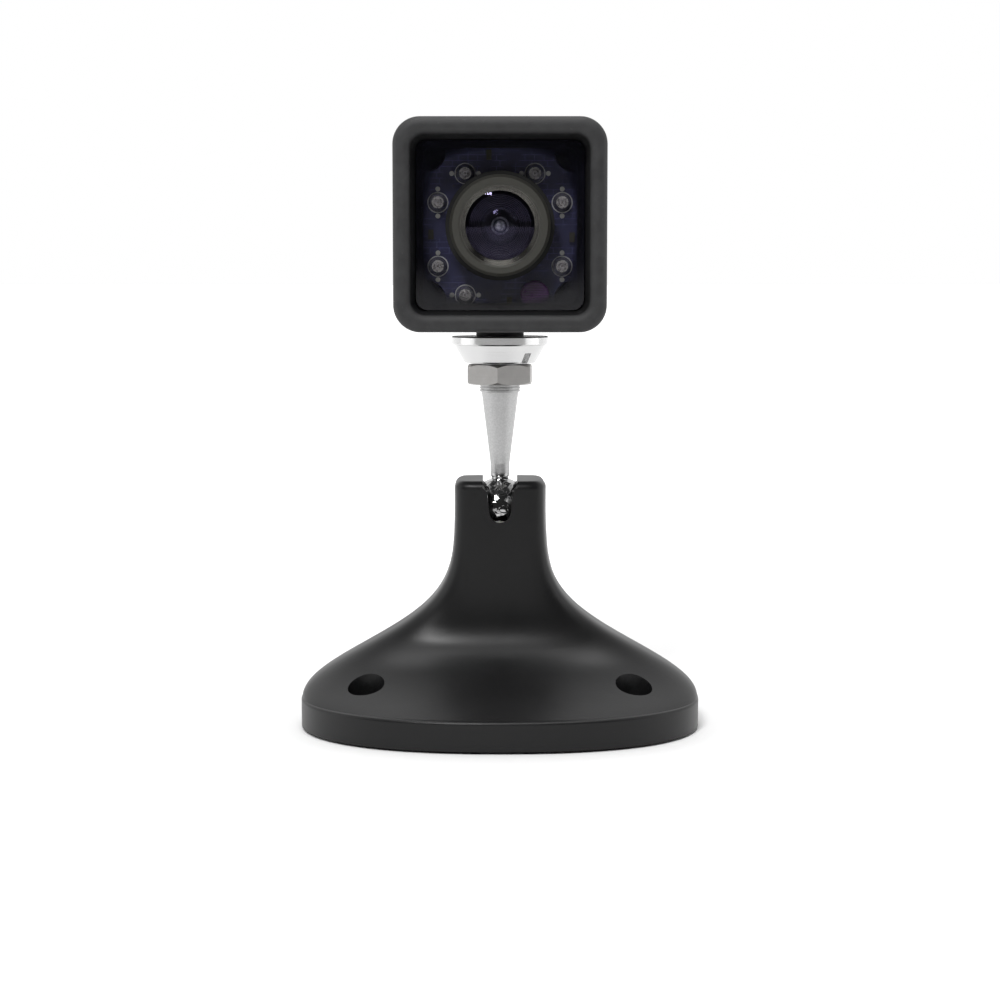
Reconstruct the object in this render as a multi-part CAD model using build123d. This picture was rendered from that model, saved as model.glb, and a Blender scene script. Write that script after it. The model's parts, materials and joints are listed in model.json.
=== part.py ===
from build123d import *
import math
import os

# Backup camera: a square camera head with a deep visor, carried by a tapered ball stem that is
# gripped in the neck of a flared screw-down base.
#
# Millimetres, +Z up, the lens looks along -Y.  The origin is the midpoint between the two
# mounting-screw holes, on the plane that the foot pad rests on.

# ---------------------------------------------------------------- driving dimensions

# Base, seen from above
SCREW_SPACING = 46.6        # between the two mounting-screw holes
SCREW_HOLE_RADIUS = 3.2     # clears a 1/4 in or M6 screw
NECK_Y = 16.0               # neck axis behind the line of the screw holes
WIDEST_BEFORE_NECK = 6.2    # the base is widest a little in front of its neck
BASE_HALF_WIDTH = 35.3
BASE_FRONT = 32.5           # neck axis to the front edge
BASE_BACK = 19.0            # neck axis to the back edge

# Base, in height
SHELL_BOTTOM = 0.4
RIM_TOP = 5.4
NECK_TOP = 43.4
BASE_WALL = 2.4
RIM_EDGE_RADIUS = 0.45
PAD_THICKNESS = 1.3
PLATE_THICKNESS = 1.5
PLATE_TOP = PAD_THICKNESS + PLATE_THICKNESS

# How the outline shrinks from the rim up to the neck: the height of each curve, and its bend
SIDE_CURVE = (12.1, 1.9)
FRONT_CURVE = (4.5, 1.2)
BACK_CURVE = (7.5, 1.3)
WIDEST_CURVE = (9.0, 1.3)
SQUARENESS_CURVE = (18.0, 2.0)
RIM_SQUARENESS = 2.3        # 2 is an ellipse, and larger is squarer
NECK_SQUARENESS = 6.0

# Neck
NECK_HALF_WIDTH = 8.05
NECK_HALF_DEPTH = 7.3
NECK_EDGE_RADIUS = 1.4

# Ball joint
BALL_Z = 38.0
BALL_RADIUS = 5.5
RUNNING_CLEARANCE = 0.05
CUP_RADIUS = 6.6            # outside of the nylon cup under the ball
BORE_RADIUS = 6.7           # bore below the ball, for the cup, springs and plug
NOTCH_HALF_WIDTH = 3.1      # channel across the top of the neck
NOTCH_BOTTOM = 41.6
SLOT_HALF_WIDTH = 1.95      # front slot that the stem lies in when it is tilted forward

# Stem, nuts and stud
STEM_THIN_RADIUS = 1.7
STEM_THICK_RADIUS = 3.3
STEM_TOP = 58.9
COLLAR_RADIUS = 3.65
STUD_RADIUS = 3.1
JAM_NUT_BOTTOM = 60.3
JAM_NUT_HEIGHT = 3.5
JAM_NUT_ACROSS_FLATS = 11.1
FLANGE_BOTTOM = 64.1
FLANGE_TOP = 68.85
FLANGE_RADIUS = 8.65

# Camera head, from its own centre above the stem axis
HEAD_SIZE = 36.0            # square face, width and height
HEAD_BOTTOM = 70.0
HEAD_FRONT = -23.0
HEAD_BACK = 23.5
HEAD_CORNER_RADIUS = 4.6
HEAD_WALL = 2.7
HOUSING_SPLIT = 9.5         # where the front housing ends
GASKET_THICKNESS = 0.8
VISOR_HALF = 15.2           # half the opening at the lip
WINDOW_HALF = 14.4          # half the opening where the window sits
WINDOW_FRONT = -16.6
WINDOW_THICKNESS = 1.5
LEDGE_HALF = 13.2           # clear opening behind the window

LENS_RING_RADIUS = 8.6
LENS_RING_BORE = 5.9
LENS_RING_FRONT = -18.6
BARREL_FRONT = -17.1
BARREL_BACK = -3.0
BARREL_MOUTH_RADIUS = 5.3
BARREL_THROAT_RADIUS = 2.9
STOP_FRONT = -14.7          # thin wall with the lens's small opening
STOP_BACK = -14.4
STOP_RADIUS = 1.65
LENS_BORE_RADIUS = 2.9
FRONT_LENS_RIM = 0.35
LED_RADIUS = 1.5
LED_CIRCLE_RADIUS = 12.0
LED_CIRCLE_DROP = 1.4       # the lamps sit round a point just below the lens axis
BOARD_THICKNESS = 1.2
LED_BOARD_FRONT = -11.8
SENSOR_BOARD_FRONT = -0.2
MAIN_BOARD_FRONT = 4.2
SHIELD_BACK = 7.2
BATTERY_FRONT = 8.2
BATTERY_BACK = 14.4
POWER_BOARD_FRONT = 15.4
POWER_BOARD_BACK = POWER_BOARD_FRONT + BOARD_THICKNESS
SCREW_CORNER = 12.6         # housing screws, from the head's centre
BOSS_RADIUS = 3.0
SCREW_RADIUS = 1.0
SCREW_START = 3.0            # the tips of the housing screws

# Rear of the head
BUTTON_RADIUS = 2.6
BUTTON_X = 5.5
LIGHT_RADIUS = 1.0
LIGHT_X = -5.5
BUTTON_Z = 5.2              # the light is level with the button
JACK_RADIUS = 3.1
JACK_Z = -6.4
JACK_HINGE_Z = -0.9

HEAD_Z = HEAD_BOTTOM + HEAD_SIZE / 2
CAVITY_HALF = HEAD_SIZE / 2 - HEAD_WALL


# ---------------------------------------------------------------- shape helpers

def along_y(radius, start, end, x=0, z=0):
    """Round bar along Y, from start to end."""
    return Pos(x, (start + end) / 2, z) * Rot(X=90) * Cylinder(radius, end - start)


def upright(radius, start, end, x=0, y=0):
    """Round bar along Z, from start to end."""
    return Pos(x, y, (start + end) / 2) * Cylinder(radius, end - start)


def block(width, height, start, end, x=0, z=0):
    """Square-cornered block that runs along Y from start to end."""
    return Pos(x, (start + end) / 2, z) * Box(width, end - start, height)


def rounded_block(width, height, corner, start, end, x=0, z=0):
    """Block with rounded corners that runs along Y from start to end."""
    outline = Plane.XZ * RectangleRounded(width, height, corner)
    return Pos(x, end, z) * extrude(outline, end - start)


def turned(outline_points, axis):
    """Turned piece: a closed outline of (radius, distance) points spun about an axis."""
    if axis == Axis.Z:
        plane = Plane.XZ
    else:
        plane = Plane.XY
    outline = plane * make_face(Polyline(*outline_points, close=True))
    return revolve(outline, axis)


def at_neck(shape):
    """Move a shape made about the Z axis to the neck's axis."""
    return Pos(0, NECK_Y, 0) * shape


def in_head(shape):
    """Move a shape made about the head's centre to its place on the stem."""
    return Pos(0, NECK_Y, HEAD_Z) * shape


def group(shapes):
    """Several separate solids in one node."""
    return Compound([solid for shape in shapes for solid in shape.solids()])


# ---------------------------------------------------------------- base

def spread(height, reach, bend):
    """Bell curve of the flare: 1 at the rim, falling to 0 up the neck."""
    return math.exp(-((height / reach) ** bend))


def base_outline(height, inset, swell=0):
    """Outline of the base at a height above its rim, drawn in by inset and swollen sideways."""
    side_spread = BASE_HALF_WIDTH + swell - NECK_HALF_WIDTH
    side = NECK_HALF_WIDTH + side_spread * spread(height, *SIDE_CURVE)
    front = NECK_HALF_DEPTH + (BASE_FRONT - NECK_HALF_DEPTH) * spread(height, *FRONT_CURVE)
    back = NECK_HALF_DEPTH + (BASE_BACK - NECK_HALF_DEPTH) * spread(height, *BACK_CURVE)
    widest = -WIDEST_BEFORE_NECK * spread(height, *WIDEST_CURVE)
    rounding = (NECK_SQUARENESS - RIM_SQUARENESS) * spread(height, *SQUARENESS_CURVE)
    squareness = NECK_SQUARENESS - rounding
    points = []
    steps = 36
    for step in range(steps):
        angle = 2 * math.pi * step / steps
        along = math.copysign(abs(math.cos(angle)) ** (2 / squareness), math.cos(angle))
        across = math.copysign(abs(math.sin(angle)) ** (2 / squareness), math.sin(angle))
        if across > 0:
            reach = back - widest
        else:
            reach = front + widest
        points.append(((side - inset) * along, widest + (reach - inset) * across))
    outline = Spline(*points, periodic=True)
    return Pos(0, NECK_Y, RIM_TOP + height) * make_face(outline)


def flare(top, wall, ledge=0, swell=0):
    """Flared body from the rim up to a height above it, wall inside the base's outer surface.

    The ledge is a further inset at the rim that fades out up the flare.
    """
    steps = 12
    heights = [top * (step / steps) ** 1.4 for step in range(steps + 1)]
    insets = [wall + ledge * spread(height, 5, 1) for height in heights]
    return loft([base_outline(height, inset, swell) for height, inset in zip(heights, insets)])


def screw_places():
    """Centres of the two mounting-screw holes."""
    return [(-SCREW_SPACING / 2, 0), (SCREW_SPACING / 2, 0)]


def plate_screw_places():
    """Centres of the screws that hold the steel plate up inside the shell."""
    return [(0, -3.0), (-18.5, 24.0), (18.5, 24.0)]


def neck_opening():
    """Everything cut out of the neck: ball socket, bore, top channel and front slot."""
    socket = Pos(0, NECK_Y, BALL_Z) * Sphere(BALL_RADIUS + RUNNING_CLEARANCE)
    bore = at_neck(upright(BORE_RADIUS, 10, BALL_Z - 1.4))
    channel_depth = NECK_TOP - NOTCH_BOTTOM + 2
    channel = Box(2 * NOTCH_HALF_WIDTH, 40, channel_depth)
    channel = chamfer(channel.edges().filter_by(Axis.Y).group_by(Axis.Z)[0], 0.7)
    channel = Pos(0, NECK_Y, NOTCH_BOTTOM + channel_depth / 2) * channel
    slot_top = NOTCH_BOTTOM + 0.8
    slot_outline = Polyline(
        (-SLOT_HALF_WIDTH, BALL_Z),
        (-SLOT_HALF_WIDTH - 0.35, slot_top),
        (SLOT_HALF_WIDTH + 0.35, slot_top),
        (SLOT_HALF_WIDTH, BALL_Z),
        close=True,
    )
    slot = Pos(0, NECK_Y, 0) * extrude(Plane.XZ * make_face(slot_outline), 20)
    slot_end = Pos(0, NECK_Y, BALL_Z) * along_y(SLOT_HALF_WIDTH, -20, 0)
    return socket + bore + channel + slot + slot_end


def make_base_shell():
    """Flared shell with a straight rim, a hollow underside, screw tubes and the ball socket."""
    rim_height = RIM_TOP - SHELL_BOTTOM
    rim = extrude(base_outline(0, 0), -rim_height)
    rim = fillet(rim.edges().group_by(Axis.Z)[-1], RIM_EDGE_RADIUS)
    overlap = 0.3
    ledge = RIM_EDGE_RADIUS + 0.15
    body = flare(NECK_TOP - RIM_TOP + overlap, 0, ledge, swell=0.45)
    body = Pos(0, 0, -overlap) * fillet(body.edges().group_by(Axis.Z)[-1], NECK_EDGE_RADIUS)
    solid = rim + body
    roof = 1.8
    skirt = Pos(0, 0, -roof) * extrude(base_outline(0, BASE_WALL), -rim_height)
    hollow = Pos(0, 0, -roof - overlap) * flare(9.0, BASE_WALL + 0.2)
    tubes = [upright(SCREW_HOLE_RADIUS + 1.8, PLATE_TOP, 25, x, y) for x, y in screw_places()]
    tubes += [upright(3.0, PLATE_TOP, 25, x, y) for x, y in plate_screw_places()]
    holes = [upright(SCREW_HOLE_RADIUS, -1, 25, x, y) for x, y in screw_places()]
    holes += [upright(1.3, 2, 6.5, x, y) for x, y in plate_screw_places()]
    hollow = (skirt + hollow) - tubes
    return solid - hollow - holes - neck_opening()


def make_base_plate():
    """Steel plate that closes the underside and gives the base its weight."""
    plate = extrude(base_outline(0, BASE_WALL + 0.3), PLATE_THICKNESS)
    plate = Pos(0, 0, PAD_THICKNESS - RIM_TOP) * plate
    for x, y in screw_places():
        plate -= upright(SCREW_HOLE_RADIUS, 0, 5, x, y)
    for x, y in plate_screw_places():
        plate -= upright(1.6, 0, 5, x, y)
        plate -= Pos(x, y, PAD_THICKNESS + 0.6) * Cone(2.9, 1.6, 1.2)
    return plate


def make_plate_screws():
    """Countersunk screws with a hex socket, driven up from below."""
    screw = upright(1.25, 1.9, 6.3) + Pos(0, 0, 1.9) * Cone(2.75, 1.5, 1.1)
    screw -= Pos(0, 0, PAD_THICKNESS) * extrude(RegularPolygon(1.0, 6), 0.8)
    return group([Pos(x, y, 0) * screw for x, y in plate_screw_places()])


def make_foot_pad():
    """Soft pad under the plate, with holes for the mounting screws."""
    pad = Pos(0, 0, -RIM_TOP) * extrude(base_outline(0, BASE_WALL + 0.6), PAD_THICKNESS)
    for x, y in screw_places():
        pad -= upright(SCREW_HOLE_RADIUS, -1, 3, x, y)
    return pad


# ---------------------------------------------------------------- ball joint

def make_ball_cup():
    """Nylon cup that carries the ball and turns with it when the stem leans sideways."""
    cup = Sphere(CUP_RADIUS) - Sphere(BALL_RADIUS + RUNNING_CLEARANCE)
    cup -= Pos(0, 0, 10 - 2.6) * Box(30, 30, 20)
    cup -= upright(2.0, -10, 0)
    return Pos(0, NECK_Y, BALL_Z) * cup


def make_pressure_seat():
    """Steel seat with a hollow round top that pushes the cup up against the ball."""
    seat = upright(CUP_RADIUS, 29.5, 34.0)
    seat -= Pos(0, 0, BALL_Z) * Sphere(CUP_RADIUS + RUNNING_CLEARANCE)
    return at_neck(seat)


def make_disc_springs():
    """Stack of conical spring washers, laid alternately up and down."""
    springs = []
    thickness = 0.5
    rise = 0.35
    pitch = thickness + rise
    for layer in range(3):
        low = 26.95 + layer * pitch
        inner_low = low + rise if layer % 2 == 0 else low
        outer_low = low if layer % 2 == 0 else low + rise
        outline = [
            (3.2, inner_low),
            (6.3, outer_low),
            (6.3, outer_low + thickness),
            (3.2, inner_low + thickness),
        ]
        springs.append(at_neck(turned(outline, Axis.Z)))
    return group(springs)


def make_tension_plug():
    """Threaded plug with a hex socket, screwed up the bore to set the grip on the ball."""
    plug = upright(BORE_RADIUS, 20.5, 26.95)
    plug = chamfer(plug.edges().filter_by(GeomType.CIRCLE), 0.4)
    plug -= Pos(0, 0, 20.4) * extrude(RegularPolygon(3.0, 6, major_radius=False), 4)
    return at_neck(plug)


def make_ball_stem():
    """Ball, tapered stem, shoulder collar and threaded stud, turned in one piece."""
    thin_top = BALL_Z + 8.0
    outline = [
        (0, BALL_Z),
        (1.5, BALL_Z + 4.9),
        (1.5, BALL_Z + 5.7),
        (STEM_THIN_RADIUS, BALL_Z + 5.9),
        (STEM_THIN_RADIUS, thin_top),
        (STEM_THICK_RADIUS, STEM_TOP),
        (COLLAR_RADIUS, STEM_TOP + 0.1),
        (COLLAR_RADIUS, JAM_NUT_BOTTOM - 0.05),
        (STUD_RADIUS, JAM_NUT_BOTTOM - 0.05),
        (STUD_RADIUS, HEAD_BOTTOM + 2.4),
        (STUD_RADIUS - 0.6, HEAD_BOTTOM + 3.0),
        (0, HEAD_BOTTOM + 3.0),
    ]
    stem = turned(outline, Axis.Z) + Pos(0, 0, BALL_Z) * Sphere(BALL_RADIUS)
    for groove in range(2):
        ring = Pos(0, 0, STEM_TOP + 0.5 + 0.5 * groove) * Torus(COLLAR_RADIUS, 0.16)
        stem -= ring
    return at_neck(stem)


def make_jam_nut():
    """Hex nut that locks the flange on the stud, with its corners turned off."""
    nut = extrude(RegularPolygon(JAM_NUT_ACROSS_FLATS / 2, 6, major_radius=False), JAM_NUT_HEIGHT)
    corner = JAM_NUT_ACROSS_FLATS / math.sqrt(3)
    turned_off = [
        (0, 0),
        (corner - 0.75, 0),
        (corner + 0.05, 0.5),
        (corner + 0.05, JAM_NUT_HEIGHT - 0.5),
        (corner - 0.75, JAM_NUT_HEIGHT),
        (0, JAM_NUT_HEIGHT),
    ]
    nut = nut & turned(turned_off, Axis.Z)
    nut -= upright(STUD_RADIUS + RUNNING_CLEARANCE, -1, 5)
    return at_neck(Pos(0, 0, JAM_NUT_BOTTOM) * Rot(Z=26) * nut)


def make_lock_flange():
    """Chromed flange that tightens under the head: a disc on a cone with two spanner slots."""
    low = FLANGE_BOTTOM
    outline = [
        (STUD_RADIUS + RUNNING_CLEARANCE, low),
        (6.3, low),
        (6.55, low + 0.25),
        (8.2, FLANGE_TOP - 1.6),
        (FLANGE_RADIUS - 0.15, FLANGE_TOP - 1.5),
        (FLANGE_RADIUS, FLANGE_TOP - 1.35),
        (FLANGE_RADIUS, FLANGE_TOP - 0.2),
        (FLANGE_RADIUS - 0.2, FLANGE_TOP),
        (STUD_RADIUS + RUNNING_CLEARANCE, FLANGE_TOP),
    ]
    flange = turned(outline, Axis.Z)
    for side in (0, 180):
        slot = Pos(0, -7.2, low + 0.9) * Box(1.5, 3.2, 1.9)
        flange -= Rot(Z=42 + side) * slot
    return at_neck(flange)


# ---------------------------------------------------------------- camera housing

def housing_screw_places():
    """Corner screws of the housing, from the head's centre."""
    return [(x, z) for x in (-SCREW_CORNER, SCREW_CORNER) for z in (-SCREW_CORNER, SCREW_CORNER)]


def make_front_housing():
    """Square housing with the deep visor, the window ledge, corner bosses and the stud boss."""
    shell = rounded_block(HEAD_SIZE, HEAD_SIZE, HEAD_CORNER_RADIUS, HEAD_FRONT, HOUSING_SPLIT)
    shell = fillet(shell.edges().group_by(Axis.Y)[0], 1.5)
    visor_depth = WINDOW_FRONT + WINDOW_THICKNESS - HEAD_FRONT
    slope = math.degrees(math.atan((VISOR_HALF - WINDOW_HALF) / visor_depth))
    mouth = Plane.XZ * RectangleRounded(2 * VISOR_HALF, 2 * VISOR_HALF, 2.6)
    visor = Pos(0, HEAD_FRONT, 0) * extrude(mouth, -visor_depth, taper=slope)
    ledge_start = WINDOW_FRONT + WINDOW_THICKNESS + 0.5
    seat = rounded_block(2 * WINDOW_HALF, 2 * WINDOW_HALF, 2.2, HEAD_FRONT + 1, ledge_start)
    light_path = rounded_block(2 * LEDGE_HALF, 2 * LEDGE_HALF, 1.5, HEAD_FRONT, 0)
    cavity_start = ledge_start + 1
    cavity = rounded_block(2 * CAVITY_HALF, 2 * CAVITY_HALF, 2.0, cavity_start, HOUSING_SPLIT + 1)
    shell = shell - visor - seat - light_path - cavity
    outer = rounded_block(HEAD_SIZE - 1, HEAD_SIZE - 1, 4, -10.2, HOUSING_SPLIT)
    for x, z in housing_screw_places():
        shell += along_y(BOSS_RADIUS, -10.2, HOUSING_SPLIT, x, z) & outer
        shell -= along_y(SCREW_RADIUS, SCREW_START, HOUSING_SPLIT + 1, x, z)
    stud_boss = upright(5.6, HEAD_BOTTOM + 1, 76.4)
    collar = upright(4.25, FLANGE_TOP + 0.05, HEAD_BOTTOM + 1)
    shell += Pos(0, 0, -HEAD_Z) * (stud_boss + collar)
    shell -= Pos(0, 0, -HEAD_Z) * upright(4.0, HEAD_BOTTOM, 75.4)
    shell -= Pos(0, 0, -HEAD_Z) * upright(STUD_RADIUS + 0.15, 60, HEAD_BOTTOM + 1)
    lip = shell.edges().filter_by(lambda edge: abs(edge.center().Y - HEAD_FRONT) < 0.01)
    return in_head(fillet(lip, 1.2))


def make_housing_gasket():
    """Rubber ring between the two halves of the housing."""
    start = HOUSING_SPLIT
    end = HOUSING_SPLIT + GASKET_THICKNESS
    ring = rounded_block(HEAD_SIZE - 0.8, HEAD_SIZE - 0.8, HEAD_CORNER_RADIUS - 0.4, start, end)
    ring -= rounded_block(2 * CAVITY_HALF, 2 * CAVITY_HALF, 2.0, start - 1, end + 1)
    for x, z in housing_screw_places():
        tab = along_y(BOSS_RADIUS, start, end, x, z)
        ring += tab & rounded_block(HEAD_SIZE - 2, HEAD_SIZE - 2, 4, start, end)
        ring -= along_y(1.2, start - 1, end + 1, x, z)
    return in_head(ring)


def make_rear_cover():
    """Back half of the housing, with openings for the button, the jack and the light."""
    start = HOUSING_SPLIT + GASKET_THICKNESS
    cover = rounded_block(HEAD_SIZE, HEAD_SIZE, HEAD_CORNER_RADIUS, start, HEAD_BACK)
    cover = fillet(cover.edges().group_by(Axis.Y)[-1], 1.6)
    inner_back = HEAD_BACK - 2.4
    cover -= rounded_block(2 * CAVITY_HALF, 2 * CAVITY_HALF, 2.0, start - 1, inner_back)
    outer = rounded_block(HEAD_SIZE - 1, HEAD_SIZE - 1, 4, start, HEAD_BACK)
    for x, z in housing_screw_places():
        cover += along_y(BOSS_RADIUS, start, HEAD_BACK, x, z) & outer
        cover -= along_y(1.2, start - 1, HEAD_BACK + 1, x, z)
        cover -= along_y(2.1, HEAD_BACK - 1.6, HEAD_BACK + 1, x, z)
    cover -= along_y(BUTTON_RADIUS + 0.15, inner_back - 1, HEAD_BACK + 1, BUTTON_X, BUTTON_Z)
    cover -= along_y(LIGHT_RADIUS, inner_back - 1, HEAD_BACK + 1, LIGHT_X, BUTTON_Z)
    cover -= along_y(JACK_RADIUS, inner_back - 1, HEAD_BACK + 1, 0, JACK_Z)
    recess_top = JACK_HINGE_Z + 1.2
    recess_bottom = JACK_Z - 5.2
    recess_middle = (recess_top + recess_bottom) / 2
    recess_start = HEAD_BACK - 1.4
    recess_height = recess_top - recess_bottom
    cover -= rounded_block(10.8, recess_height, 2.5, recess_start, HEAD_BACK + 1, 0, recess_middle)
    return in_head(cover)


def make_cover_screws():
    """Cross-head screws that hold the rear cover on."""
    screw = along_y(SCREW_RADIUS, SCREW_START, HEAD_BACK - 1.6)
    head = along_y(1.9, HEAD_BACK - 1.6, HEAD_BACK - 0.3)
    head = fillet(head.edges().group_by(Axis.Y)[-1], 0.3)
    cross_start = HEAD_BACK - 0.9
    cross = block(2.2, 0.5, cross_start, HEAD_BACK) + block(0.5, 2.2, cross_start, HEAD_BACK)
    screw = screw + head - cross
    return group([in_head(Pos(x, 0, z) * screw) for x, z in housing_screw_places()])


def make_stud_insert():
    """Brass insert moulded into the boss, which the stem's stud screws into."""
    insert = upright(4.0, HEAD_BOTTOM + 0.01, 75.3)
    return at_neck(insert - upright(STUD_RADIUS + RUNNING_CLEARANCE, 60, 74.4))


# ---------------------------------------------------------------- window and lens

def make_window():
    """Smoked clear window with a round hole for the lens."""
    start = WINDOW_FRONT
    end = WINDOW_FRONT + WINDOW_THICKNESS
    window = rounded_block(2 * WINDOW_HALF - 0.1, 2 * WINDOW_HALF - 0.1, 2.1, start, end)
    return in_head(window - along_y(9.3, start - 1, end + 1))


def make_window_gasket():
    """Thin foam frame that the window sits on."""
    start = WINDOW_FRONT + WINDOW_THICKNESS
    end = start + 0.5
    frame = rounded_block(2 * WINDOW_HALF - 0.1, 2 * WINDOW_HALF - 0.1, 2.1, start, end)
    return in_head(frame - rounded_block(2 * LEDGE_HALF, 2 * LEDGE_HALF, 1.5, start - 1, end + 1))


def make_lens_seal():
    """Rubber ring that closes the gap between the window and the lens ring."""
    start = WINDOW_FRONT + 0.2
    end = WINDOW_FRONT + WINDOW_THICKNESS - 0.2
    return in_head(along_y(9.3, start, end) - along_y(LENS_RING_RADIUS, start - 1, end + 1))


def make_lens_ring():
    """Anodised ring round the lens, bevelled inwards at the front."""
    front = LENS_RING_FRONT
    outline = [
        (LENS_RING_RADIUS, -11.5),
        (LENS_RING_RADIUS, front + 0.5),
        (LENS_RING_RADIUS - 0.5, front),
        (7.1, front),
        (LENS_RING_BORE, front + 1.1),
        (LENS_RING_BORE, -11.5),
    ]
    return in_head(turned(outline, Axis.Y))


def make_lens_barrel():
    """Black barrel: a stepped light trap down to a small stop, and the lens bore behind it."""
    steps = 6
    depth = BARREL_FRONT
    radius = BARREL_MOUTH_RADIUS
    outline = [(LENS_RING_BORE, depth), (radius, depth)]
    for ring in range(steps):
        depth += (STOP_FRONT - BARREL_FRONT) / steps
        outline.append((radius, depth))
        radius -= (BARREL_MOUTH_RADIUS - BARREL_THROAT_RADIUS) / steps
        outline.append((radius, depth))
    outline += [
        (STOP_RADIUS, STOP_FRONT),
        (STOP_RADIUS, STOP_BACK),
        (LENS_BORE_RADIUS, STOP_BACK),
        (LENS_BORE_RADIUS, BARREL_BACK),
        (LENS_RING_BORE, BARREL_BACK),
    ]
    return in_head(turned(outline, Axis.Y))


def lens_element(radius, edge_thickness, front_bulge, start):
    """Glass element with a domed front, its flat rim starting at start."""
    curve = (radius**2 + front_bulge**2) / (2 * front_bulge)
    glass = along_y(radius, start, start + edge_thickness)
    dome = Pos(0, start - front_bulge + curve, 0) * Sphere(curve)
    return glass + (dome & along_y(radius, start - front_bulge - 1, start))


def make_front_lens():
    """Wide domed element in front, hollow behind, that rests on the barrel's rim."""
    rim = FRONT_LENS_RIM
    glass = lens_element(LENS_RING_BORE - RUNNING_CLEARANCE, rim, 1.0, BARREL_FRONT - rim)
    hollow_radius = 7.6
    glass -= Pos(0, BARREL_FRONT - 0.45 + hollow_radius, 0) * Sphere(hollow_radius)
    return in_head(glass)


def make_middle_lens():
    """Small element just behind the stop."""
    return in_head(lens_element(LENS_BORE_RADIUS - RUNNING_CLEARANCE, 1.2, 0.6, STOP_BACK + 0.65))


def make_rear_lens():
    """Last element of the lens, near the sensor."""
    return in_head(lens_element(LENS_BORE_RADIUS - RUNNING_CLEARANCE, 1.0, 0.5, -5.0))


def make_lens_holder():
    """Square holder on the sensor board that the barrel screws into."""
    back = SENSOR_BOARD_FRONT
    holder = block(14, 14, back - 7, back) - along_y(5.95, -8, -2.4) - block(9, 9, -2.5, 0)
    return in_head(chamfer(holder.edges().filter_by(Axis.Y).group_by(Axis.X)[0], 0.6))


# ---------------------------------------------------------------- boards and what they carry

def make_image_sensor():
    """Image sensor chip behind the lens."""
    front = SENSOR_BOARD_FRONT - 1
    return in_head(block(6.4, 6.0, front, front + 1) - block(3.8, 2.9, front - 0.1, front + 0.1))


def board(width, bottom, top, start):
    """Circuit board from bottom to top, cut back round the housing's corner bosses."""
    middle = (bottom + top) / 2
    end = start + BOARD_THICKNESS
    plate = rounded_block(width, top - bottom, 0.8, start, end, 0, middle)
    for x, z in housing_screw_places():
        plate -= along_y(BOSS_RADIUS + 0.3, start - 1, end + 1, x, z)
    return plate


def make_sensor_board():
    """Board that carries the image sensor and the lens holder."""
    return in_head(board(25, -11.2, 12.2, SENSOR_BOARD_FRONT))


def spacer_places():
    """Spacers between the lamp board and the sensor board."""
    return [(x, z) for x in (-8.8, 8.8) for z in (-8.7, 8.9)]


def make_board_spacers():
    """Round spacers that carry the lamp board in front of the sensor board."""
    start = LED_BOARD_FRONT + BOARD_THICKNESS
    end = SENSOR_BOARD_FRONT
    return group([in_head(along_y(1.4, start, end, x, z)) for x, z in spacer_places()])


def make_led_board():
    """Square lamp board with a round hole for the lens, cut back at the housing's corners."""
    half = CAVITY_HALF - 0.3
    plate = board(2 * half, -half, half, LED_BOARD_FRONT)
    lens_hole = along_y(LENS_RING_RADIUS + 0.25, LED_BOARD_FRONT - 1, LED_BOARD_FRONT + 3)
    return in_head(plate - lens_hole)


def lamp_places():
    """Eight places round the lens: seven lamps, and the light sensor in the last one."""
    angles = [27, 60, 120, 153, 207, 240, 333, 300]
    return [
        (
            LED_CIRCLE_RADIUS * math.cos(math.radians(angle)),
            LED_CIRCLE_RADIUS * math.sin(math.radians(angle)) - LED_CIRCLE_DROP,
            angle,
        )
        for angle in angles
    ]


def make_infrared_leds():
    """Seven round infrared lamps with domed tips."""
    body = along_y(LED_RADIUS, LED_BOARD_FRONT - 1.9, LED_BOARD_FRONT)
    tip = Pos(0, LED_BOARD_FRONT - 1.5, 0) * Sphere(LED_RADIUS)
    flange = along_y(LED_RADIUS + 0.3, LED_BOARD_FRONT - 0.6, LED_BOARD_FRONT)
    lamp = body + tip + flange
    return group([in_head(Pos(x, 0, z) * lamp) for x, z, angle in lamp_places()[:-1]])


def make_led_pads():
    """Two solder pads beside each lamp: above and below the side ones, left and right of the rest."""
    pads = []
    for x, z, angle in lamp_places()[:-1]:
        beside_lens = abs(math.cos(math.radians(angle))) > 0.7
        for side in (-1, 1):
            shift = 2.3 * side
            place = (x, z + shift) if beside_lens else (x + shift, z)
            pads.append(in_head(along_y(0.42, LED_BOARD_FRONT - 0.3, LED_BOARD_FRONT, *place)))
    return group(pads)


def make_light_sensor():
    """Round photocell that switches the lamps on in the dark."""
    x, z, angle = lamp_places()[-1]
    cell = along_y(2.5, LED_BOARD_FRONT - 1.8, LED_BOARD_FRONT, x, z)
    return in_head(fillet(cell.edges().group_by(Axis.Y)[0], 0.4))


def make_chip_resistors():
    """Small chip parts on the lamp board."""
    places = [(-11.9, -1.4), (12.4, -1.9), (-1.9, 12.2), (1.6, -13.0)]
    chip = block(0.9, 1.7, LED_BOARD_FRONT - 0.5, LED_BOARD_FRONT)
    return group([in_head(Pos(x, 0, z) * chip) for x, z in places])


def make_main_board():
    """Radio and video board behind the sensor board."""
    return in_head(board(25, -11.2, 13.0, MAIN_BOARD_FRONT))


def make_board_header():
    """Pin header that joins the sensor board and the main board."""
    start = SENSOR_BOARD_FRONT + BOARD_THICKNESS
    return in_head(block(12.7, 2.5, start, MAIN_BOARD_FRONT, 0, 9.6))


def make_radio_shield():
    """Tinned can over the transmitter."""
    can = block(14, 12, MAIN_BOARD_FRONT + BOARD_THICKNESS, SHIELD_BACK, 0, 3.0)
    return in_head(fillet(can.edges().group_by(Axis.Y)[-1], 0.4))


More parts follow.
